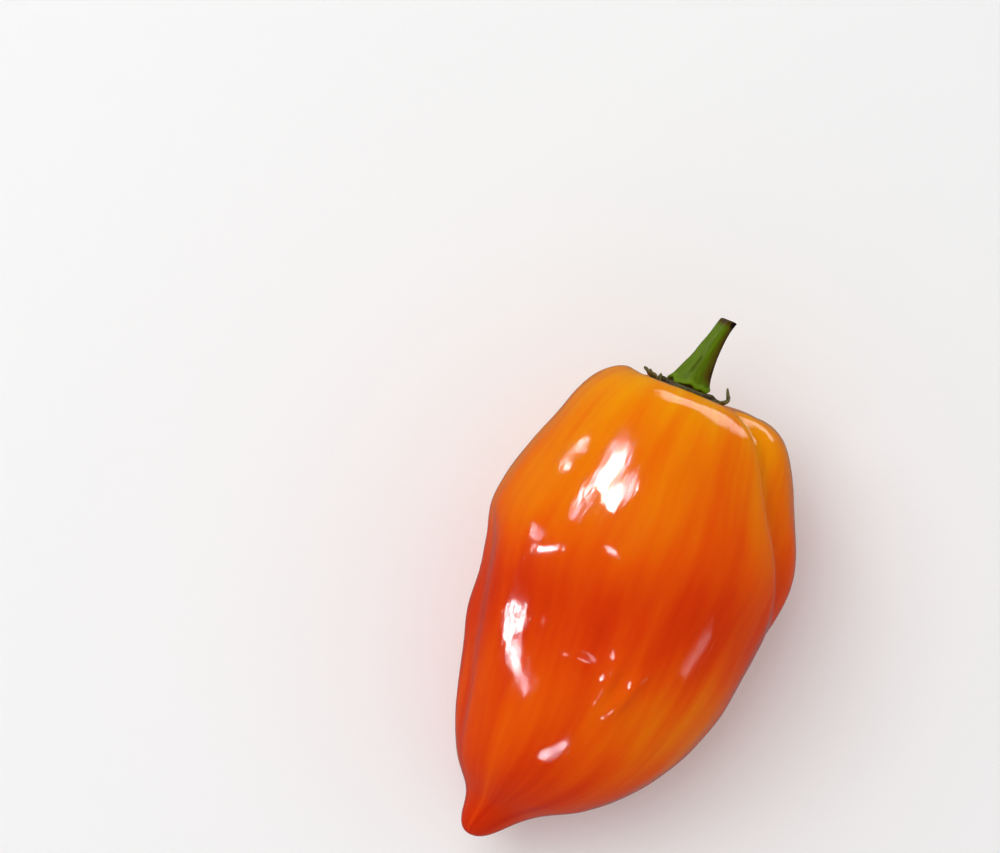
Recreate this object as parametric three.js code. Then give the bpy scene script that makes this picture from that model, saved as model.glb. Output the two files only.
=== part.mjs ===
// A ripe orange lantern-shaped chilli pepper, as picked: the fruit, its calyx and its stem.
// It lies on its side. Millimetres, +Z up, +Y towards the stem end, -Y towards the tip.
// The origin is on the surface it lies on, under the middle of its bounding box.
import * as THREE from "three";

// ---------- driving dimensions ----------
const fruitLength = 57.5; // shoulder to tip
const fruitRadius = 18; // at the widest, a third of the way down
const seatShift = -1.5; // how far the calyx's seat stands to the left of the fruit's middle
const calyxRadius = 4.4; // without its teeth
const calyxThickness = 0.6;
const stemLength = 9.1;
const touchingGap = 0.3; // between two pieces that meet
const underGap = 0.05; // more than that under the calyx, whose facets differ from the crown's
const skinPress = 0.25; // how far the skin flattens where it bears on the surface

// How the fruit lies on its lower lobes: the stem end is a little higher than the tip.
const stemEndUp = THREE.MathUtils.degToRad(8.6);

const fruitAround = 72; // facets round the fruit
const fruitAlong = 48; // rings from under the calyx to the tip

// ---------- the fruit's shape ----------
// Half of the fruit's outline, from under the calyx over the shoulder to the tip:
// [share of fruitRadius, share of fruitLength below the shoulder]. A cubic B-spline follows it.
const profile = [
  [0, 0.023],
  [0.12, 0.023],
  [0.24, 0.016],
  [0.345, 0.002],
  [0.46, -0.004],
  [0.58, 0.008],
  [0.675, 0.038],
  [0.745, 0.08],
  [0.79, 0.126],
  [0.86, 0.178],
  [0.945, 0.24],
  [0.995, 0.31],
  [0.99, 0.376],
  [0.965, 0.44],
  [0.935, 0.508],
  [0.89, 0.578],
  [0.82, 0.65],
  [0.73, 0.729],
  [0.62, 0.8],
  [0.45, 0.863],
  [0.275, 0.901],
  [0.195, 0.932],
  [0.145, 0.964],
  [0.085, 0.991],
  [0, 1],
];
// How far the fruit's middle stands to the right, in mm, at even steps down to the tip.
const drift = [0.7, 0.7, 0.7, 1, 1.1, 0.7, 0.8, 1, 1.1, 1.1, 0.9, 0.3, -0.7, -2.5, -4.4, -5.3];
const driftLength = 1.04 * fruitLength;
// The seat's shift is whole within the first of these radii and fades out at the second.
const seatReach = [4, 12];
const seatEnd = 0.3; // the share of the outline within which the seat lies
const seatRight = drift[0] + seatShift;

// Valleys between the lobes, and a lobe of its own where the depth is negative. Angles are in
// degrees from the top face round to the right. Each one turns by so many degrees per mm, and
// fades in and out between two distances in mm below the shoulder.
const valleys = [
  { angle: 47, turn: 1.75, depth: 1.6, width: 9, start: [-2, 1], end: [14, 27] },
  { angle: 94, turn: 0, depth: -0.45, width: 16, start: [2, 8], end: [18, 30] },
  { angle: -80, turn: 0.3, depth: 0.6, width: 8, start: [18, 25], end: [40, 50] },
  { angle: 180, turn: 0, depth: 2, width: 22, start: [-2, 2], end: [36, 52] },
  { angle: -122, turn: 0.3, depth: 1.3, width: 12, start: [-2, 2], end: [26, 44] },
  { angle: -98, turn: 0, depth: 0.75, width: 32, start: [19, 25], end: [26, 35] },
  { angle: 96, turn: 0, depth: 0.4, width: 24, start: [20, 26], end: [26, 34] },
];

// Hollows in the top face, or a swelling where the depth is negative: the middle [right, below
// the shoulder], half-widths and depth in mm.
const hollows = [
  { at: [-5, 8], half: [7, 3.8], depth: -0.35 },
  { at: [-4.5, 29], half: [6.5, 7.5], depth: 1.7 },
  { at: [4, 24], half: [4, 4], depth: 0.3 },
];

// ---------- helpers ----------
const degrees = THREE.MathUtils.degToRad;

// A uniform cubic B-spline through 0 to 1, along points of one or two numbers. With mirror, the
// curve crosses the axis square to it at both ends, so the turned shape has smooth poles.
function bSpline(points, t, mirror = false) {
  const n = points.length - 1;
  const size = points[0].length;
  const beyond = (end, inner) =>
    mirror
      ? [-inner[0], inner[1]]
      : end.map((value, k) => 2 * value - inner[k]);
  const all = [beyond(points[0], points[1]), ...points, beyond(points[n], points[n - 1])];
  const u = THREE.MathUtils.clamp(t, 0, 1) * n;
  const i = Math.min(Math.floor(u), n - 1);
  const f = u - i;
  const weights = [
    (1 - f) ** 3,
    3 * f ** 3 - 6 * f ** 2 + 4,
    -3 * f ** 3 + 3 * f ** 2 + 3 * f + 1,
    f ** 3,
  ];
  const sum = Array(size).fill(0);
  weights.forEach((w, j) => all[i + j].forEach((value, k) => (sum[k] += (w * value) / 6)));
  return sum;
}

function smoothStep(x, from, to) {
  return THREE.MathUtils.smootherstep(x, Math.min(from, to), Math.max(from, to));
}

// The difference between two angles, from -pi to pi.
function turnBetween(a, b) {
  return THREE.MathUtils.euclideanModulo(a - b + Math.PI, 2 * Math.PI) - Math.PI;
}

// The outline's radius and depth at t, and its outward normal there.
function outlineAt(t) {
  const at = (s) => {
    const [radius, below] = bSpline(profile, s, true);
    return new THREE.Vector2(radius * fruitRadius, below * fruitLength);
  };
  const step = 1e-4;
  const tangent = at(Math.min(t + step, 1)).sub(at(Math.max(t - step, 0))).normalize();
  return { point: at(t), normal: new THREE.Vector2(tangent.y, -tangent.x) };
}

// The outline's crest, which divides the flank from the seat of the calyx.
const crest = (() => {
  let best = { t: 0, below: Infinity };
  for (let i = 0; i <= 200; i++) {
    const t = i / 400;
    const below = outlineAt(t).point.y;
    if (below < best.below) best = { t, below };
  }
  return best;
})();

// A point of the skin in the fruit's own frame: X right, Y to the stem, Z out of the top face.
function skinPoint(t, angle) {
  const { point, normal } = outlineAt(t);
  const below = point.y;
  // Distance past the crest, negative inside it, so that a valley can fade out on the crown.
  const past = t < crest.t ? 2 * crest.below - below : below;
  let lift = 0;
  for (const v of valleys) {
    const middle = degrees(v.angle + v.turn * Math.max(below, 0));
    const share = turnBetween(angle, middle) / degrees(v.width);
    const fade = smoothStep(past, ...v.start) * (1 - smoothStep(past, ...v.end));
    lift -= v.depth * fade * Math.exp(-(share ** 2));
  }
  const seated = t < seatEnd ? 1 - smoothStep(point.x, ...seatReach) : 0;
  const middle = bSpline(drift.map((d) => [d]), below / driftLength)[0] + seatShift * seated;
  const facing = smoothStep(Math.cos(angle), 0, 0.4);
  for (const h of hollows) {
    const dx = (middle + point.x * Math.sin(angle) - h.at[0]) / h.half[0];
    const dy = (below - h.at[1]) / h.half[1];
    lift -= h.depth * facing * Math.exp(-(dx * dx + dy * dy));
  }
  const radius = point.x + normal.x * lift;
  return new THREE.Vector3(
    middle + radius * Math.sin(angle),
    -(below + normal.y * lift),
    radius * Math.cos(angle),
  );
}

// A closed mesh from rings of points, with a single point at each end.
function closedRings(first, rings, last) {
  const around = rings[0].length;
  const points = [first, ...rings.flat(), last];
  const at = (ring, k) => 1 + ring * around + (k % around);
  const faces = [];
  for (let k = 0; k < around; k++) {
    faces.push(0, at(0, k), at(0, k + 1));
    faces.push(points.length - 1, at(rings.length - 1, k + 1), at(rings.length - 1, k));
  }
  for (let r = 0; r + 1 < rings.length; r++) {
    for (let k = 0; k < around; k++) {
      faces.push(at(r, k), at(r + 1, k), at(r + 1, k + 1));
      faces.push(at(r, k), at(r + 1, k + 1), at(r, k + 1));
    }
  }
  const geometry = new THREE.BufferGeometry();
  geometry.setAttribute(
    "position",
    new THREE.Float32BufferAttribute(points.flatMap((p) => p.toArray()), 3),
  );
  geometry.setIndex(faces);
  geometry.computeVertexNormals();
  return geometry;
}

function ringOf(count, pointAt) {
  return Array.from({ length: count }, (_, k) => pointAt((2 * Math.PI * k) / count));
}

// ---------- how it lies ----------
const layDown = new THREE.Matrix4().makeRotationX(stemEndUp);

// ---------- the pieces ----------
function makeFruit() {
  const rings = [];
  for (let r = 1; r < fruitAlong; r++) {
    rings.push(ringOf(fruitAround, (angle) => skinPoint(r / fruitAlong, angle)));
  }
  const geometry = closedRings(skinPoint(0, 0), rings, skinPoint(1, 0));
  geometry.applyMatrix4(layDown);
  geometry.computeBoundingBox();
  // The skin gives a little where the lobes bear on the surface, so each has a small flat.
  const lowest = geometry.boundingBox.min.z + skinPress;
  geometry.translate(0, 0, -lowest);
  const position = geometry.getAttribute("position");
  for (let i = 0; i < position.count; i++) {
    position.setZ(i, Math.max(position.getZ(i), 0));
  }
  const skin = new THREE.MeshStandardMaterial({ color: 0xe8600c, roughness: 0.2, metalness: 0 });
  const fruit = new THREE.Mesh(geometry, skin);
  fruit.name = "fruit";
  return { fruit, lowest };
}

// The calyx is a thin leathery disc with pointed teeth round its margin. It follows the fruit's
// crown, and its teeth lift off it. share runs from its middle, 0, to its margin, 1.
const teeth = [
  { angle: -104, reach: 1.1, lift: 0.5 },
  { angle: -68, reach: 1, lift: 0.9 },
  { angle: -20, reach: 0.4, lift: 0.2 },
  { angle: 30, reach: 0.4, lift: 0.2 },
  { angle: 86, reach: 0.35, lift: 2 },
  { angle: 142, reach: 0.6, lift: 0.5 },
  { angle: -156, reach: 0.65, lift: 0.7 },
];
const toothWidth = degrees(15);
const marginLift = 0.15; // of the margin between the teeth
const flareRadius = 3; // of the stem's foot, where the calyx is flat

function calyxEdge(angle) {
  let reach = calyxRadius;
  let lift = marginLift;
  for (const tooth of teeth) {
    const near = Math.exp(-((turnBetween(angle, degrees(tooth.angle)) / toothWidth) ** 2));
    reach += tooth.reach * near;
    lift += tooth.lift * near;
  }
  return { reach, lift };
}

// The depth of the fruit's crown below the shoulder at a distance from its middle.
function crownAt(radius) {
  let low = 0;
  let high = crest.t;
  for (let i = 0; i < 30; i++) {
    const t = (low + high) / 2;
    if (outlineAt(t).point.x < radius) low = t;
    else high = t;
  }
  return outlineAt(low).point.y;
}

function makeCalyx() {
  const around = 60;
  const steps = 7;
  const side = (height) => (share) => (angle) => {
    const { reach, lift } = calyxEdge(angle);
    const radius = share * reach;
    const curl = lift * Math.max(0, (radius - flareRadius) / (reach - flareRadius)) ** 2;
    return new THREE.Vector3(
      seatRight + radius * Math.sin(angle),
      -crownAt(radius) + touchingGap + curl + height,
      radius * Math.cos(angle),
    );
  };
  const under = side(underGap);
  const over = side(underGap + calyxThickness);
  const rings = [];
  for (let r = 1; r <= steps; r++) rings.push(ringOf(around, over(r / steps)));
  for (let r = steps; r >= 1; r--) rings.push(ringOf(around, under(r / steps)));
  const geometry = closedRings(over(0)(0), rings, under(0)(0));
  const leaf = new THREE.MeshStandardMaterial({ color: 0x5a6414, roughness: 0.7, metalness: 0 });
  const calyx = new THREE.Mesh(geometry, leaf);
  calyx.name = "calyx";
  return calyx;
}

// The stem's middle line, [right in mm, share of its length], and its radius at the same steps.
// Its sections are level, so its foot and its cut end are both square to the fruit's length.
const stemLine = [
  [-0.15, 0],
  [0, 0.25],
  [0.45, 0.5],
  [0.85, 0.75],
  [1.5, 1],
];
const stemRadii = [2.7, 1.85, 1.3, 1.02, 0.98];
const stemRibs = { count: 5, height: 0.05, angle: 0.4 };
const pith = { share: 0.42, taper: 0.8, depth: 0.7 }; // the hollow in the cut end

function makeStem() {
  const around = 30;
  const steps = 16;
  const foot = -crownAt(0) + 2 * touchingGap + calyxThickness + underGap;
  const sectionAt = (t, size, sink = 0) => {
    const [right, up] = bSpline(stemLine, t);
    const [radius] = bSpline(stemRadii.map((r) => [r]), t);
    return (angle) => {
      const ribbed = 1 + stemRibs.height * Math.cos(stemRibs.count * angle + stemRibs.angle);
      const reach = radius * size * ribbed;
      return new THREE.Vector3(
        seatRight + right + reach * Math.sin(angle),
        foot + up * stemLength - sink,
        reach * Math.cos(angle),
      );
    };
  };
  const rings = [];
  for (let r = 0; r <= steps; r++) rings.push(ringOf(around, sectionAt(r / steps, 1)));
  rings.push(ringOf(around, sectionAt(1, pith.share)));
  rings.push(ringOf(around, sectionAt(1, pith.share * pith.taper, pith.depth)));
  rings.reverse();
  const geometry = closedRings(
    sectionAt(1, 0, pith.depth)(0),
    rings,
    sectionAt(0, 0)(0),
  );
  const green = new THREE.MeshStandardMaterial({ color: 0x4f6b10, roughness: 0.5, metalness: 0 });
  const stem = new THREE.Mesh(geometry, green);
  stem.name = "stem";
  return stem;
}

// ---------- the pepper ----------
const pepper = new THREE.Group();
const { fruit, lowest } = makeFruit();

// The calyx and the stem stand on the fruit's crown, in the fruit's own frame.
const crown = new THREE.Group();
crown.setRotationFromMatrix(layDown);
crown.position.z = -lowest;
crown.add(makeCalyx(), makeStem());
pepper.add(fruit, crown);

const box = new THREE.Box3().setFromObject(pepper, true);
const middle = box.getCenter(new THREE.Vector3());
pepper.position.set(-middle.x, -middle.y, 0);

export default pepper;
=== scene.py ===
from math import cos, pi, radians, sin

import bpy
import numpy as np
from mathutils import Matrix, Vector


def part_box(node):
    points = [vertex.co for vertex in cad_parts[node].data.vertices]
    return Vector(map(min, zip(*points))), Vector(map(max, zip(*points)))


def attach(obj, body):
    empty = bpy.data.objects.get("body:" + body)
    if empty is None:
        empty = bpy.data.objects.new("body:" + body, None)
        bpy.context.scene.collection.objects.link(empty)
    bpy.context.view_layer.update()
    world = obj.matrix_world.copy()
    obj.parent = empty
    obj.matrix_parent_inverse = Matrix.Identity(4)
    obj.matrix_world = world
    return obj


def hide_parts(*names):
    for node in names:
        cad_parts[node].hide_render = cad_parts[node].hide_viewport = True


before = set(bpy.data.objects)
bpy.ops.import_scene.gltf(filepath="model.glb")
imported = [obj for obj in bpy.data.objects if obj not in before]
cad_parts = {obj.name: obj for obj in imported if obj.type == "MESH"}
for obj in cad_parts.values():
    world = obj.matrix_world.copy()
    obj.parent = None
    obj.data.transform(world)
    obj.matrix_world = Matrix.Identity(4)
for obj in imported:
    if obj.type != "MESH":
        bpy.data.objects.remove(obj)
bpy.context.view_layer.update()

mm = 0.001


def bSpline(points, t, mirror=False):
    # Uniform cubic B-spline: each point of the curve is a weighted mean of the four nearest
    # control points. With mirror, the row before the first and after the last is the inner
    # neighbour turned about the axis, so that a turned shape is smooth at its poles.
    p = np.array(points, float)
    if p.ndim == 1:
        p = p[:, None]
    if mirror:
        before, after = p[1] * [-1, 1], p[-2] * [-1, 1]
    else:
        before, after = 2 * p[0] - p[1], 2 * p[-1] - p[-2]
    q = np.vstack([before, p, after])
    u = np.clip(np.asarray(t, float), 0, 1) * (len(p) - 1)
    i = np.minimum(u.astype(int), len(p) - 2)
    f = (u - i)[..., None]
    return (
        (1 - f) ** 3 * q[i]
        + (3 * f**3 - 6 * f**2 + 4) * q[i + 1]
        + (-3 * f**3 + 3 * f**2 + 3 * f + 1) * q[i + 2]
        + f**3 * q[i + 3]
    ) / 6


def fade(x, start, end):
    # 0 before start, 1 after end, and the smoother step 6t^5 - 15t^4 + 10t^3 between them.
    t = np.clip((x - start) / (end - start), 0, 1)
    return t**3 * (t * (6 * t - 15) + 10)


def turnBetween(a, b):
    # The turn from b to a, the short way round, in radians.
    return (a - b + pi) % (2 * pi) - pi


def bell(x, width):
    # 1 at zero, falling away as exp(-(x / width)^2).
    return np.exp(-((x / width) ** 2))


def ripple(points, wave, seed, waves=36):
    # A sum of sine waves in random directions over the square root of their count. All are
    # close to one wavelength, given in mm for each axis. It is smooth and has no seam.
    rng = np.random.default_rng(seed)
    ways = rng.normal(size=(waves, 3))
    ways /= np.linalg.norm(ways, axis=1)[:, None]
    ways *= rng.uniform(0.7, 1.4, waves)[:, None] * 2 * pi / np.array(wave)
    starts = rng.uniform(0, 2 * pi, waves)
    total = np.zeros(points.shape[:-1])
    for way, start in zip(ways, starts):
        total += np.sin(points @ way + start)
    return total / np.sqrt(waves)


def closedMesh(name, rings, first, last, material, attributes):
    # Rings of points, each joined to the next by quads, with a fan to one point at each end.
    # The values of the attributes are one for each ring point, and each end takes its mean.
    count, around = rings.shape[:2]
    points = np.vstack([first, rings.reshape(-1, 3), last])
    k = np.arange(around)
    nextK = (k + 1) % around
    ring = 1 + around * np.arange(count)[:, None]
    a, b = ring[:-1] + k, ring[1:] + k
    c, d = ring[1:] + nextK, ring[:-1] + nextK
    quads = np.stack([a, b, c, d], -1).reshape(-1, 4)
    start = np.stack([0 * k, ring[0] + k, ring[0] + nextK], -1)
    end = np.stack([0 * k + len(points) - 1, ring[-1] + nextK, ring[-1] + k], -1)
    corners = np.concatenate([start.ravel(), quads.ravel(), end.ravel()])
    sizes = np.array([3] * around + [4] * len(quads) + [3] * around)
    mesh = bpy.data.meshes.new(name)
    mesh.vertices.add(len(points))
    mesh.vertices.foreach_set("co", points.ravel())
    mesh.loops.add(len(corners))
    mesh.loops.foreach_set("vertex_index", corners.astype(np.int32))
    mesh.polygons.add(len(sizes))
    mesh.polygons.foreach_set("loop_start", (np.cumsum(sizes) - sizes).astype(np.int32))
    mesh.polygons.foreach_set("use_smooth", np.ones(len(sizes), bool))
    for label, values in attributes.items():
        values = np.asarray(values, float)
        flat = values.reshape(count, around, -1)
        whole = np.vstack([flat[0].mean(0), flat.reshape(count * around, -1), flat[-1].mean(0)])
        kind, slot = ("FLOAT", "value") if values.ndim == 2 else ("FLOAT_VECTOR", "vector")
        store = mesh.attributes.new(label, kind, "POINT")
        store.data.foreach_set(slot, whole.ravel().astype(np.float32))
    mesh.update(calc_edges=True)
    mesh.validate()
    mesh.materials.append(material)
    piece = bpy.data.objects.new(name, mesh)
    bpy.context.scene.collection.objects.link(piece)
    print(name, len(points), "points, shape closed")
    return piece


class Wire:
    # An output socket that can be used in sums: each operator adds one Math node.

    def __init__(self, tree, socket):
        self.tree, self.socket = tree, socket

    def math(self, operation, *values):
        node = self.tree.nodes.new("ShaderNodeMath")
        node.operation = operation
        for slot, value in zip(node.inputs, values):
            if isinstance(value, Wire):
                self.tree.links.new(value.socket, slot)
            else:
                slot.default_value = value
        return Wire(self.tree, node.outputs[0])

    def __add__(self, other):
        return self.math("ADD", self, other)

    def __radd__(self, other):
        return self.math("ADD", other, self)

    def __sub__(self, other):
        return self.math("SUBTRACT", self, other)

    def __rsub__(self, other):
        return self.math("SUBTRACT", other, self)

    def __mul__(self, other):
        return self.math("MULTIPLY", self, other)

    def __rmul__(self, other):
        return self.math("MULTIPLY", other, self)

    def clipped(self):
        # Held between 0 and 1.
        return self.math("MINIMUM", self.math("MAXIMUM", self, 0), 1)


class Finish:
    # One material: its own Principled shader, and the nodes that feed it.

    def __init__(self, name, **constants):
        self.material = bpy.data.materials.new(name)
        self.material.use_nodes = True
        self.tree = self.material.node_tree
        self.shader = self.tree.nodes["Principled BSDF"]
        for label, value in constants.items():
            self.shader.inputs[label.replace("_", " ")].default_value = value

    def add(self, kind, settings, sockets, output=0):
        # Any node: its type, its settings, and the values or links of its sockets.
        node = self.tree.nodes.new("ShaderNode" + kind)
        for label, value in settings.items():
            if label == "stops":
                self.setStops(node.color_ramp, value)
            else:
                setattr(node, label, value)
        for label, value in sockets.items():
            if isinstance(value, Wire):
                self.tree.links.new(value.socket, node.inputs[label])
            else:
                node.inputs[label].default_value = value
        return Wire(self.tree, node.outputs[output])

    def setStops(self, ramp, stops):
        while len(ramp.elements) < len(stops):
            ramp.elements.new(1)
        for element, (place, colour) in zip(ramp.elements, stops):
            element.position, element.color = place, (*colour, 1)

    def attribute(self, label, output="Fac"):
        return self.add("Attribute", {"attribute_name": label}, {}, output)

    def noise(self, vector, scale, detail, roughness):
        # Varies smoothly from 0 to 1, mostly near the middle.
        sockets = {"Vector": vector, "Scale": scale, "Detail": detail, "Roughness": roughness}
        return self.add("TexNoise", {}, sockets)

    def ramp(self, value, stops):
        return self.add("ValToRGB", {"stops": stops}, {"Fac": value})

    def bump(self, height, depth, strength):
        # Shading as if the surface rose by depth, in metres, from height 0 to height 1.
        return self.add("Bump", {}, {"Strength": strength, "Distance": depth, "Height": height})

    def feed(self, **wires):
        for label, wire in wires.items():
            self.tree.links.new(wire.socket, self.shader.inputs[label.replace("_", " ")])
        return self.material


def linear(red, green, blue):
    # The display's 0 to 255 value as a linear share of light.
    parts = [c / 255 for c in (red, green, blue)]
    return tuple(c / 12.92 if c <= 0.04045 else ((c + 0.055) / 1.055) ** 2.4 for c in parts)


fruitForm = {
    "length": 57.5,
    "radius": 18,
    "around": 288,
    "along": 320,
    # Half outline from under the calyx to the tip, in shares of the radius and the length.
    "profile": [
        (0, 0.023), (0.12, 0.023), (0.24, 0.016), (0.345, 0.002), (0.46, -0.004),
        (0.58, 0.008), (0.675, 0.038), (0.745, 0.08), (0.79, 0.126), (0.86, 0.178),
        (0.945, 0.24), (0.995, 0.31), (0.99, 0.376), (0.965, 0.44), (0.935, 0.508),
        (0.89, 0.578), (0.82, 0.65), (0.73, 0.729), (0.62, 0.8), (0.45, 0.863),
        (0.275, 0.901), (0.195, 0.932), (0.145, 0.964), (0.085, 0.991), (0, 1),
    ],
    # Mm to the right of the fruit's middle, at even steps down to the tip.
    "drift": [0.7, 0.7, 0.7, 1, 1.1, 0.7, 0.8, 1, 1.1, 1.1, 0.9, 0.3, -0.7, -2.5, -4.4, -5.3],
    "driftLength": 1.04,
    # The calyx's seat stands to the left of the middle, wholly within the first of these radii
    # and not at all past the second, in mm, over the first share of the outline.
    "seatShift": -1.5,
    "seatReach": (4, 12),
    "seatEnd": 0.3,
    # angle in degrees from the top face to the right, turn in degrees per mm, depth in mm,
    # width in degrees, and the mm below the shoulder over which it starts and ends
    "valleys": [
        (47, 1.75, 1.6, 9, (-2, 1), (14, 27)),
        (94, 0, -0.45, 16, (2, 8), (18, 30)),
        (-80, 0.3, 0.6, 8, (18, 25), (40, 50)),
        (180, 0, 2, 22, (-2, 2), (36, 52)),
        (-122, 0.3, 1.3, 12, (-2, 2), (26, 44)),
        (-98, 0, 0.75, 32, (19, 25), (26, 35)),
        (96, 0, 0.4, 24, (20, 26), (26, 34)),
    ],
    # Middle (right, below the shoulder), half-widths and depth, on the top face, in mm. The
    # first is a swelling.
    "hollows": [
        ((-5, 8), (7, 3.8), -0.35),
        ((-4.5, 29), (6.5, 7.5), 1.7),
        ((4, 24), (4, 4), 0.3),
    ],
    # From and to (degrees, mm below the shoulder), height and half-width in mm.
    "ridges": [
        ((7, 30.3), (6, 35), 0.55, 0.8),
        ((18.5, 30.3), (13, 36.5), 0.6, 0.8),
        ((-14, 31.9), (-1, 32), 0.2, 0.7),
    ],
    # Wavelengths across, along and out of the skin, height and seed, in mm.
    "ripples": [
        ((10, 22, 10), 0.06, 4),
        ((4.2, 8, 4.2), 0.034, 5),
        ((1.2, 4, 1.2), 0.004, 8),
    ],
    # Share of full ripeness at even steps from the shoulder to the tip. The rise near the middle
    # is partly painted shade of the hollow.
    "ripenessAndShade": [0.12, 0.34, 0.38, 0.46, 0.66, 0.84, 0.7, 0.54, 0.64, 0.78, 0.9, 1],
    # What is added to that on the right, and taken from it on the left. It is partly painted
    # shade: redder on the upper right lobe, and on the left round the hollow.
    "rightRipenessAndShade": [0, 0.05, 0.08, 0.2, 0.24, -0.05, -0.24, -0.22, -0.1, -0.02, 0, 0],
    "topFace": (0, 0.4),  # cosines of the angle between which the hollows come in
    "ridgeEnds": 0.35,  # share of its height that a ridge keeps at its ends
    "rippleReach": (3, 9),  # mm from the axis over which the ripples come in
    "tilt": 8.6,  # degrees that the stem end is raised where it lies
    "press": 0.25,  # mm that the skin gives where it bears on the surface
}


def outlineAt(t):
    # The half outline's point at t, and its outward normal: the direction along it, turned a
    # quarter.
    form = fruitForm
    size = np.array([form["radius"], form["length"]])
    at = lambda s: bSpline(form["profile"], np.clip(s, 0, 1), True) * size
    step = 1e-4
    along = at(t + step) - at(t - step)
    along /= np.linalg.norm(along, axis=-1, keepdims=True)
    return at(t), np.stack([along[..., 1], -along[..., 0]], -1)


def fruitSkin():
    # A half outline turned about the long axis. Each point moves along the outline's own
    # normal by the sum of valleys, hollows, ridges and ripples, then by the axis's drift.
    form = fruitForm
    t = np.linspace(0, 1, form["along"] + 2)
    angle = np.linspace(0, 2 * pi, form["around"], endpoint=False)[None, :]
    point, normal = outlineAt(t)
    radius, below = point[:, :1], point[:, 1:]
    outRadius, outBelow = normal[:, :1], normal[:, 1:]
    crest = below[: form["along"] // 2].argmin()
    past = below.copy()
    past[:crest] = 2 * below[crest] - below[:crest]
    middle = bSpline(form["drift"], below[:, 0] / (form["driftLength"] * form["length"]))
    seated = (t < form["seatEnd"])[:, None] * (1 - fade(radius, *form["seatReach"]))
    middle = middle + form["seatShift"] * seated
    right = middle + radius * np.sin(angle)
    front = radius * np.cos(angle)
    down = below + 0 * angle

    lift = np.zeros_like(right)
    for degrees, turn, depth, width, start, end in form["valleys"]:
        line = radians(1) * (degrees + turn * np.maximum(below, 0))
        share = fade(past, *start) * (1 - fade(past, *end))
        lift -= depth * share * bell(turnBetween(angle, line), radians(width))
    facing = fade(np.cos(angle), *form["topFace"])
    for (x, y), (wide, high), depth in form["hollows"]:
        lift -= depth * facing * bell(right - x, wide) * bell(down - y, high)
    for (fromAngle, fromDown), (toAngle, toDown), height, width in form["ridges"]:
        ax = turnBetween(angle, radians(fromAngle)) * radius
        bx = turnBetween(radians(toAngle), radians(fromAngle)) * radius
        ay, by = down - fromDown, toDown - fromDown
        share = np.clip((ax * bx + ay * by) / (bx**2 + by**2), 0, 1)
        away = np.hypot(ax - share * bx, ay - share * by)
        kept = form["ridgeEnds"] + (1 - form["ridgeEnds"]) * np.sin(pi * share)
        lift += height * bell(away, width) * kept
    base = np.stack([right, -down, front], -1)
    rippled = fade(radius, *form["rippleReach"])
    for wave, height, seed in form["ripples"]:
        lift += height * rippled * ripple(base, wave, seed)

    reach = radius + outRadius * lift
    skin = np.stack([middle + reach * np.sin(angle), -(down + outBelow * lift),
                     reach * np.cos(angle)], -1)
    return skin, angle + 0 * down, down


def layDown(points):
    # Turned about the left-right axis, so that the stem end is raised.
    c, s = cos(radians(fruitForm["tilt"])), sin(radians(fruitForm["tilt"]))
    return points @ np.array([[1, 0, 0], [0, c, s], [0, -s, c]])


skin, skinAngle, skinDown = fruitSkin()
lain = layDown(skin)
fruitLow, fruitHigh = (np.array(corner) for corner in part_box("fruit"))
fruitMiddle = (fruitLow + fruitHigh) / 2
shift = fruitMiddle / mm - (lain.min((0, 1)) + lain.max((0, 1))) / 2
shift[2] = -(lain[..., 2].min() + fruitForm["press"])


def settle(points):
    # From the fruit's own frame in mm to where it lies, in metres: laid down, shifted, and
    # pressed flat where it would be below the surface.
    placed = layDown(points) + shift
    placed[..., 2] = np.maximum(placed[..., 2], 0)
    return placed * mm


skinLook = {
    "yellow": linear(240, 156, 0),
    "orange": linear(236, 118, 0),
    "blush": linear(229, 82, 0),
    "red": linear(216, 58, 0),
    # The deepest red is partly painted shade: the darker, redder colour of the fruit's shaded
    # lower end and hollow.
    "deepRedAndShade": linear(200, 40, 0),
    # Mm that the ripeness wanders along the fruit and is spread over, most at the back.
    "wander": 1.6,
    "spread": 9,
    "flow": (4.5, 0.04),  # size of the pattern round the fruit, and along it for each mm
    "streaks": (0.8, 0.75),  # scale, and how far they shift the ripeness
    "flecks": (3, 0.06),
    "wax": (5, 0.1, 0.02),  # scale, range and least value of the roughness
    "brushed": (9, 0.000045, 0.6),  # scale, height in metres, and strength
}


def makeSkinFinish():
    # Waxy and a little translucent. Its colour is the ripeness with painted shade in the hollow
    # and towards the tip, shifted by streaks and flecks.
    look = skinLook
    finish = Finish(
        "waxySkin",
        IOR=1.28,
        Subsurface_Weight=0.25,
        Subsurface_Radius=(1.0, 0.35, 0.1),
        Subsurface_Scale=0.003,
    )
    flow = finish.attribute("flow", "Vector")
    ripe = finish.attribute("ripe")
    streakScale, streakShift = look["streaks"]
    fleckScale, fleckShift = look["flecks"]
    waxScale, waxRange, waxLeast = look["wax"]
    grainScale, grainHeight, grainStrength = look["brushed"]
    streaks = finish.noise(flow, streakScale, 3, 0.55)
    flecks = finish.noise(flow, fleckScale, 2, 0.5)
    place = ripe + (streaks - 0.5) * streakShift + (flecks - 0.5) * fleckShift
    colour = finish.ramp(
        place.clipped(),
        [(0.08, look["yellow"]), (0.34, look["orange"]), (0.6, look["blush"]), (0.8, look["red"]),
         (1, look["deepRedAndShade"])],
    )
    bump = finish.bump(finish.noise(flow, grainScale, 3, 0.6), grainHeight, grainStrength)
    wax = finish.noise(flow, waxScale, 3, 0.6) * waxRange + waxLeast
    return finish.feed(Base_Color=colour, Roughness=wax, Normal=bump)


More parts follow.
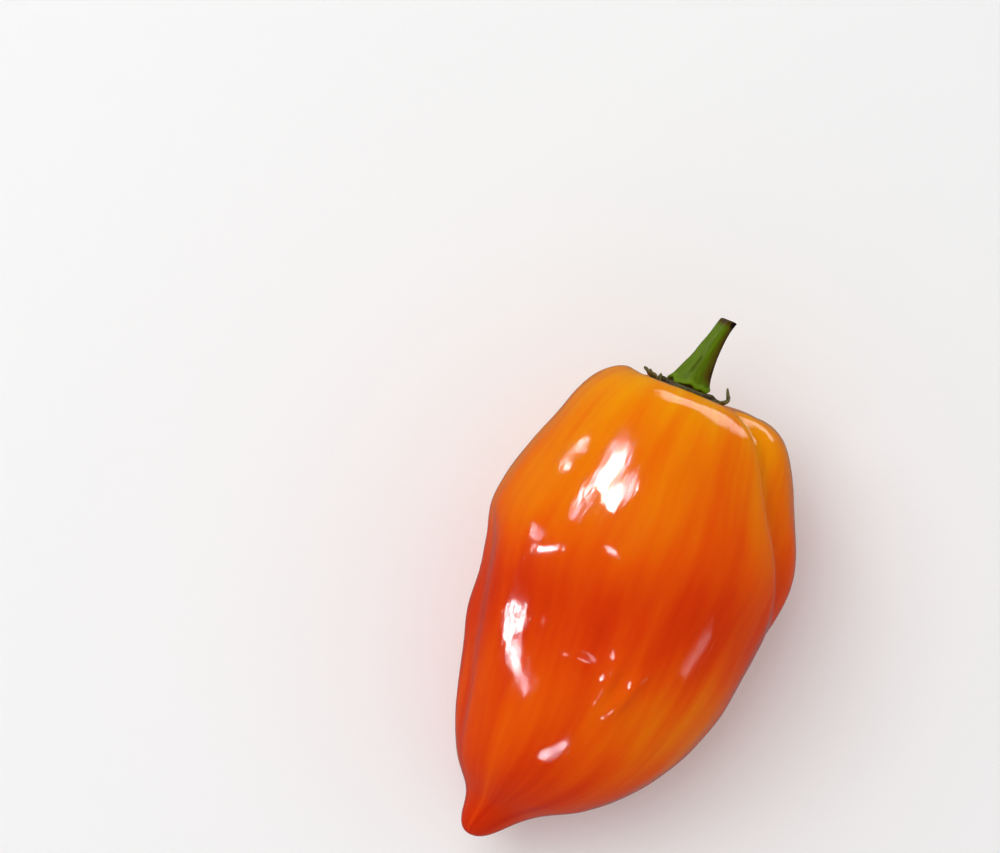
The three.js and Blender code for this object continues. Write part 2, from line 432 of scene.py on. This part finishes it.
def makeFruit():
    # The skin's grid, and two values on it. Ripeness is least at the shoulder, and most in the
    # hollow, where it is partly painted shade, and towards the tip: at the back, the mean of
    # three places along the fruit. Flow is a ring round the fruit by the distance along it.
    angle, down = skinAngle, skinDown
    back = (1 - np.cos(angle)) / 2
    wander = skinLook["wander"] * back * (np.sin(3 * angle + 1) + np.sin(7 * angle))
    ripe = 0
    for step in (-1, 0, 1):
        place = (down + wander + step * skinLook["spread"] * back) / fruitForm["length"]
        sideways = bSpline(fruitForm["rightRipenessAndShade"], place)[..., 0] * np.sin(angle)
        # Ripeness with painted shade: redder in the hollow and on the upper right lobe.
        ripe = ripe + (bSpline(fruitForm["ripenessAndShade"], place)[..., 0] + sideways) / 3
    around, along = skinLook["flow"]
    flow = np.stack([np.sin(angle) * around, np.cos(angle) * around, down * along], -1)
    fruit = closedMesh(
        "wholeFruit", settle(skin[1:-1]), settle(skin[0, :1]), settle(skin[-1, :1]),
        makeSkinFinish(), {"ripe": ripe[1:-1], "flow": flow[1:-1]},
    )
    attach(fruit, "root")
    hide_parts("fruit")


makeFruit()


def crownAt(radius):
    # The height of the calyx's seat, in the fruit's frame, at a distance from its middle.
    t = np.linspace(0, fruitForm["seatEnd"], 200)
    point, _ = outlineAt(t)
    return -np.interp(radius, point[:, 0], point[:, 1])


def placedOnSeat(across, up, front):
    # From mm across, up and in front of the seat's middle to where it lies, in metres.
    seatRight = fruitForm["drift"][0] + fruitForm["seatShift"]
    return settle(np.stack([seatRight + across, up, front], -1))


calyxForm = {
    "around": 420,
    "discRings": 8,
    "leafRings": 30,
    "discRadius": 2.5,  # mm, where the leafy margin begins
    "leafLength": 1.7,  # mm of the margin past the disc, between the teeth
    "thickness": (1.65, 0.46),  # mm in the middle and near the edge
    "thinning": (2.4, 4.6),  # mm from the middle over which it goes from one to the other
    "edgeThinning": 0.6,  # share of the thickness that is lost at the very edge
    "flatCurl": 14,  # degrees, between the teeth
    "flatCurlReach": (0.4, 1.5),  # mm past the disc over which it begins
    # Angle and width in degrees, length in mm past the margin, curl in degrees, and the
    # distance past the disc, in mm, over which it curls up.
    "teeth": [
        (-114, 7, 1, 0, 0.8, 2.6), (-99, 8, 1.5, -6, 1.4, 3.4), (-84, 6, 0.9, 30, 1, 2.6),
        (-70, 6, 1, 14, 0.8, 2.6), (-57, 5, 0.7, 60, 0.6, 2), (-20, 12, 0.5, 20, 0.5, 2.3),
        (30, 12, 0.4, 24, 0.5, 2.3), (62, 7, 0.3, 50, 0.5, 2.3), (90, 11, 2.8, 104, 2, 3.3),
        (142, 10, 0.9, 50, 0.5, 2.3), (180, 9, 0.6, 30, 0.5, 2.3), (-150, 11, 1.1, 60, 0.5, 2.3),
    ],
    "toothReach": 1.7,  # widths of a tooth over which its curl spreads
    "raggedEdge": 0.06,  # mm
    # Angle and half-width in degrees, and mm that the margin lifts there.
    "raised": [(-90, 45, 0.45), (92, 32, 0.5)],
    "raisedReach": (2, 4),  # mm from the middle over which it lifts
    "crinkles": 0.07,  # mm
    "crownRadius": 5.5,  # mm, past which the leaf no longer follows the crown
    "underGap": 0.03,  # mm between the crown and the leaf
}


def makeCalyxFinish():
    # Dry and leathery: olive on top, brown towards the edge, with a paler rim and dark flecks.
    finish = Finish("driedCalyx", Roughness=0.6, IOR=1.45, Specular_IOR_Level=0.15)
    grain = finish.attribute("grain", "Vector")
    edge = finish.attribute("edge")
    flecks = finish.noise(grain, 2.4, 4, 0.65)
    veins = finish.noise(grain, 7, 2, 0.5)
    place = (edge + (flecks - 0.5) * 0.9).clipped()
    body = finish.ramp(
        place,
        [(0.1, linear(84, 88, 14)), (0.42, linear(70, 54, 16)), (0.7, linear(44, 30, 12)),
         (0.95, linear(96, 88, 30))],
    )
    bump = finish.bump(flecks + veins * 0.5, 0.00012, 0.7)
    return finish.feed(Base_Color=body, Normal=bump)


def makeCalyx():
    # A disc on the fruit's crown, then a leaf whose direction turns up with the distance d past
    # the disc: radius = disc + sum of cos(curl), height = crown + sum of sin(curl).
    form = calyxForm
    angle = np.linspace(0, 2 * pi, form["around"], endpoint=False)[None, :]
    length = form["leafLength"] + 0 * angle
    for degrees, width, extra, *_ in form["teeth"]:
        away = turnBetween(angle, radians(degrees))
        length = length + extra * np.exp(-np.abs(away / radians(width)) ** 1.5)
    ragged = np.sin(31 * angle + 1) + np.sin(47 * angle + 4) + np.sin(19 * angle + 2)
    length = length + form["raggedEdge"] * ragged
    share = np.linspace(0, 1, form["leafRings"])[:, None]
    d = share * length
    turned = radians(form["flatCurl"]) * fade(d, *form["flatCurlReach"])
    for degrees, width, _, turn, start, end in form["teeth"]:
        reach = radians(form["toothReach"] * width)
        near = bell(turnBetween(angle, radians(degrees)), reach)
        turned = turned + radians(turn) * near * fade(d, start, end)
    step = length / (form["leafRings"] - 1)
    # The leaf's run and rise: the sums of the cosines and sines of its direction.
    run = np.cumsum(np.cos(turned) * step, 0) - np.cos(turned) * step
    rise = np.cumsum(np.sin(turned) * step, 0) - np.sin(turned) * step
    disc = np.linspace(0, 1, form["discRings"] + 1)[1:-1, None] * form["discRadius"]
    radius = np.vstack([disc + 0 * angle, form["discRadius"] + run])
    rise = np.vstack([0 * disc + 0 * angle, rise])
    turned = np.vstack([0 * disc + 0 * angle, turned])
    edge = np.vstack([0 * disc + 0 * angle, share + 0 * angle])
    thick, thin = form["thickness"]
    thickness = thick + (thin - thick) * fade(radius, *form["thinning"])
    thickness = thickness * (1 - form["edgeThinning"] * edge**6)
    wave = np.sin(23 * angle + 2 * radius) + np.sin(37 * angle - 3 * radius + 1)
    crinkle = form["crinkles"] * wave * edge**1.5
    margin = sum(height * bell(turnBetween(angle, radians(middle)), radians(width))
                 for middle, width, height in form["raised"])
    up = crownAt(np.minimum(radius, form["crownRadius"])) + rise + crinkle
    up = up + margin * fade(radius, *form["raisedReach"]) + form["underGap"]

    def side(offset):
        reach = radius - np.sin(turned) * offset
        return placedOnSeat(reach * np.sin(angle), up + np.cos(turned) * offset,
                            reach * np.cos(angle))

    top, under = side(thickness), side(0 * thickness)
    rings = np.vstack([top, under[::-1]])
    middle = np.zeros((1, 1))
    first = placedOnSeat(middle, crownAt(middle) + thick, middle)[0]
    last = placedOnSeat(middle, crownAt(middle), middle)[0]
    grain = np.stack([radius * np.sin(angle), radius * np.cos(angle), rise], -1)
    both = lambda values: np.concatenate([values, values[::-1]])
    calyx = closedMesh("leafyCalyx", rings, first, last, makeCalyxFinish(),
                       {"edge": both(edge), "grain": both(grain)})
    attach(calyx, "root")
    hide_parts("calyx")


makeCalyx()


stemForm = {
    "around": 240,
    "along": 220,
    "length": 9.1,
    "foot": 1.5,  # mm that the foot stands above the seat
    # Mm to the right, and radius in mm, at even steps from the foot to the cut end.
    "line": [0, 0.2, 0.62, 1.0, 1.6],
    "radii": [2.65, 1.85, 1.3, 1.02, 0.98],
    "ribs": (5, 0.045, 0.4),  # count, height as a share of the radius, and angle
    "scallops": [(5, 0.14, 1.2), (11, 0.07, 0.5), (7, 0.08, 3)],  # count, mm, angle
    "rim": 0.5,  # mm, the middle height of the foot's lower edge
    "lip": (0.14, 0.22, 0.26),  # mm that it swells, above the rim, and half-width
    "undercut": (0.35, 0.3, 0.05),  # mm in, and from where to where below and above the rim
    # Angle at each end in degrees, the heights of the ends, half-width and depth, in mm.
    "crease": ((-19, 1.4), (-11, 4.8), 0.17, 0.26),
    "pith": (0.42, 0.8, 0.7),  # share of the radius, taper and depth in mm
    "bevel": 0.07,  # mm, the worn edge of the cut end
    # Wavelengths in mm, height in mm, and seed.
    "bumps": ((3, 9, 3), 0.035, 11),
    "bumpReach": (0.8, 2),  # mm above the foot over which the bumps come in
    "fibres": ((0.9, 0.9, 7), 0.012, 12),
}


def makeStemFinish():
    # Fibrous: bright green to olive round the stem, darker brown on its right side as painted
    # shade, and brown at the cut.
    finish = Finish("greenStem", Roughness=0.6, IOR=1.45, Specular_IOR_Level=0.06)
    grain = finish.attribute("grain", "Vector")
    dry = finish.attribute("dry")
    fibres = finish.noise(grain, 2.2, 4, 0.6)
    patches = finish.noise(grain, 0.55, 2, 0.5)
    place = (dry + (fibres - 0.5) * 0.28 + (patches - 0.5) * 0.35).clipped()
    colour = finish.ramp(
        place,
        [(0.08, linear(98, 128, 4)), (0.28, linear(80, 106, 0)), (0.48, linear(84, 88, 2)),
         (0.68, linear(74, 56, 8)), (0.92, linear(22, 13, 6))],
    )
    bump = finish.bump(fibres, 0.00008, 0.6)
    return finish.feed(Base_Color=colour, Normal=bump)


def makeStem():
    # Level sections along a curved middle line, each a ribbed circle: radius times
    # 1 + ribs * cos(count * angle), with a scalloped rim at the foot and a pinched crease.
    form = stemForm
    angle = np.linspace(0, 2 * pi, form["around"], endpoint=False)[None, :]
    t = np.linspace(1, 0, form["along"])
    line, plain = bSpline(form["line"], t), bSpline(form["radii"], t)
    up = t[:, None] * form["length"] + 0 * angle
    count, height, start = form["ribs"]
    radius = plain * (1 + height * np.cos(count * angle + start))
    rim = form["rim"] + sum(size * np.sin(n * angle + at) for n, size, at in form["scallops"])
    swell, above, spread = form["lip"]
    radius = radius + swell * bell(up - rim - above, spread)
    drawnIn, below, over = form["undercut"]
    radius = radius - drawnIn * (1 - fade(up, rim - below, rim + over))
    (lowAngle, lowUp), (highAngle, highUp), width, depth = form["crease"]
    along = (up - lowUp) / (highUp - lowUp)
    centre = radians(1) * (lowAngle + (highAngle - lowAngle) * along)
    inCrease = fade(along, 0, 0.35) * (1 - fade(along, 0.6, 1))
    crease = inCrease * bell(turnBetween(angle, centre) * plain, width)
    radius = radius - depth * crease
    base = np.stack([3 * np.sin(angle) + 0 * up, 3 * np.cos(angle) + 0 * up, up], -1)
    wave, height, seed = form["bumps"]
    radius = radius + height * ripple(base, wave, seed) * fade(up, *form["bumpReach"])
    wave, height, seed = form["fibres"]
    radius = radius + height * ripple(base, wave, seed)
    radius[0] -= form["bevel"]

    # Four rings over the cut end: two on the sunken pith, its brim, and one by the worn edge.
    size, taper, sink = form["pith"]
    cut = radius[:1] * np.array([[size * taper * 0.4], [size * taper], [size], [0.8]])
    cutUp = form["length"] + form["bevel"] * np.array([[0], [0], [1], [1]]) + 0 * angle
    cutUp[:2] -= sink
    radius, up = np.vstack([cut, radius]), np.vstack([cutUp, up])
    line = np.vstack([line[:1]] * len(cut) + [line])
    foot = crownAt(0) + form["foot"]
    rings = placedOnSeat(line + radius * np.sin(angle), foot + up, radius * np.cos(angle))
    ends = [placedOnSeat(line[k, :1], foot + up[k, :1], 0 * line[k, :1]) for k in (0, -1)]

    # Dryness and painted light: the dry brown of the cut end, painted shade on the right, under
    # the rim and in the crease, and a painted highlight just above the rim.
    # Painted shade: darker and browner on the right, the side away from the lamps.
    side = fade(np.sin(angle - 0.15), 0, 0.75) * 0.4 + fade(np.sin(angle), 0.72, 0.98) * 0.3
    dry = 0.2 + side * fade(up, 0.5, 2.5) + 0.5 * fade(up, 7.9, 9)
    # Painted shade under the rim, where the lip shades the foot, and a painted highlight in a
    # lighter band just above it.
    dry = dry + 0.6 * (1 - fade(up, rim - 0.25, rim + 0.1)) - 0.2 * bell(up - rim - 0.3, 0.25)
    # Painted shade: darker in the crease.
    dry[len(cut):] += 0.1 * crease
    dry[:len(cut)] = np.array([[1], [0.9], [0.7], [0.62]])
    grain = np.stack([2.6 * np.sin(angle) + 0 * up, 2.6 * np.cos(angle) + 0 * up, 0.4 * up], -1)
    stem = closedMesh("cutStem", rings, *ends, makeStemFinish(), {"dry": dry, "grain": grain})
    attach(stem, "root")
    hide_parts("stem")


makeStem()


studio = {
    # In degrees, mm of lens, and metres.
    "azimuth": 22,
    "elevation": 84,
    "lens": 100,
    "distance": 0.32,
    # Mm that the middle of the picture lies to the left of and above the fruit's middle.
    "pictureMiddle": (-12.8, 22.4),
    "floor": (1.5, 0.88),  # half-width in metres, and how much light it gives back
    "air": (0.64, 0.16),  # brightness on the surfaces, and in reflections
    "heart": (0, 0, 0.016),  # where the lamps point, in metres
    # Name, place and size in metres, and power in watts. Soft lamps light the surfaces, and
    # shine lamps are only seen reflected in them.
    "softLamps": [
        ("skyPanel", (-0.35, 0.1, 0.8), (0.6, 0.6), 3.2),
    ],
    "shineLamps": [
        ("keySoftbox", (-0.29, 0.178, 0.328), (0.085, 0.11), 4.2),
        ("keyTail", (-0.36, 0.085, 0.29), (0.13, 0.03), 1.4),
        ("upperGlint", (-0.42, 0.16, 0.014), (0.02, 0.04), 0.16),
        ("sideGlint", (-0.44, -0.1, 0.1), (0.09, 0.025), 0.4),
        ("leftStripLow", (-0.405, -0.198, 0.14), (0.03, 0.03), 0.4),
        ("leftStripHigh", (-0.365, -0.212, 0.21), (0.03, 0.035), 0.5),
        ("tipSoftbox", (-0.015, -0.42, 0.23), (0.024, 0.08), 0.8),
        ("frontGlint", (-0.17, -0.155, 0.415), (0.06, 0.02), 0.4),
        ("rightStrip", (0.42, -0.15, 0.12), (0.05, 0.05), 0.05),
        ("backPanel", (0.06, 0.46, 0.02), (0.5, 0.2), 2.8),
    ],
}


def makeFloor():
    # A pale square that is left out of reflections, so that it doesn't wash out the red.
    size, shade = studio["floor"]
    mesh = bpy.data.meshes.new("floor")
    mesh.from_pydata([(-size, -size, 0), (size, -size, 0), (size, size, 0), (-size, size, 0)],
                     [], [(0, 1, 2, 3)])
    finish = Finish("palePaper", Roughness=0.9, Base_Color=(shade, shade, shade, 1))
    mesh.materials.append(finish.material)
    floor = bpy.data.objects.new("floor", mesh)
    bpy.context.scene.collection.objects.link(floor)
    floor.visible_glossy = False


def makeLamp(name, place, size, power, isShine):
    light = bpy.data.lights.new(name, "AREA")
    light.shape, light.size, light.size_y = "RECTANGLE", *size
    light.energy = power
    lamp = bpy.data.objects.new(name, light)
    lamp.location = place
    aim = Vector(studio["heart"]) - Vector(place)
    lamp.rotation_euler = aim.to_track_quat("-Z", "Y").to_euler()
    lamp.visible_diffuse, lamp.visible_glossy = not isShine, isShine
    bpy.context.scene.collection.objects.link(lamp)


def makeAir():
    # White all round, and dimmer for the rays that are reflections.
    world = bpy.data.worlds.new("studioAir")
    world.use_nodes = True
    tree = world.node_tree
    reflected = Wire(tree, tree.nodes.new("ShaderNodeLightPath").outputs["Is Glossy Ray"])
    onSurfaces, inReflections = studio["air"]
    strength = (1 - reflected) * onSurfaces + reflected * inReflections
    background = tree.nodes["Background"]
    tree.links.new(strength.socket, background.inputs["Strength"])
    background.inputs["Color"].default_value = (1, 1, 1, 1)
    bpy.context.scene.world = world


def makeCamera():
    # On a ball of the given distance round its aim, at the azimuth and elevation, looking in.
    a, e = radians(studio["azimuth"]), radians(studio["elevation"])
    back = Vector((sin(a) * cos(e), -cos(a) * cos(e), sin(e)))
    side = Vector((cos(a), sin(a), 0))
    up = back.cross(side)
    across, above = (part * mm for part in studio["pictureMiddle"])
    aim = Vector(fruitMiddle.tolist()) + side * across + up * above
    lens = bpy.data.cameras.new("camera")
    lens.lens = studio["lens"]
    lens.clip_start = 0.01
    camera = bpy.data.objects.new("camera", lens)
    camera.location = aim + back * studio["distance"]
    camera.rotation_euler = back.to_track_quat("Z", "Y").to_euler()
    bpy.context.scene.collection.objects.link(camera)
    bpy.context.scene.camera = camera


makeFloor()
for lamp in studio["softLamps"]:
    makeLamp(*lamp, False)
for lamp in studio["shineLamps"]:
    makeLamp(*lamp, True)
makeAir()
makeCamera()
bpy.context.scene.view_settings.view_transform = "Standard"
print("studio made")
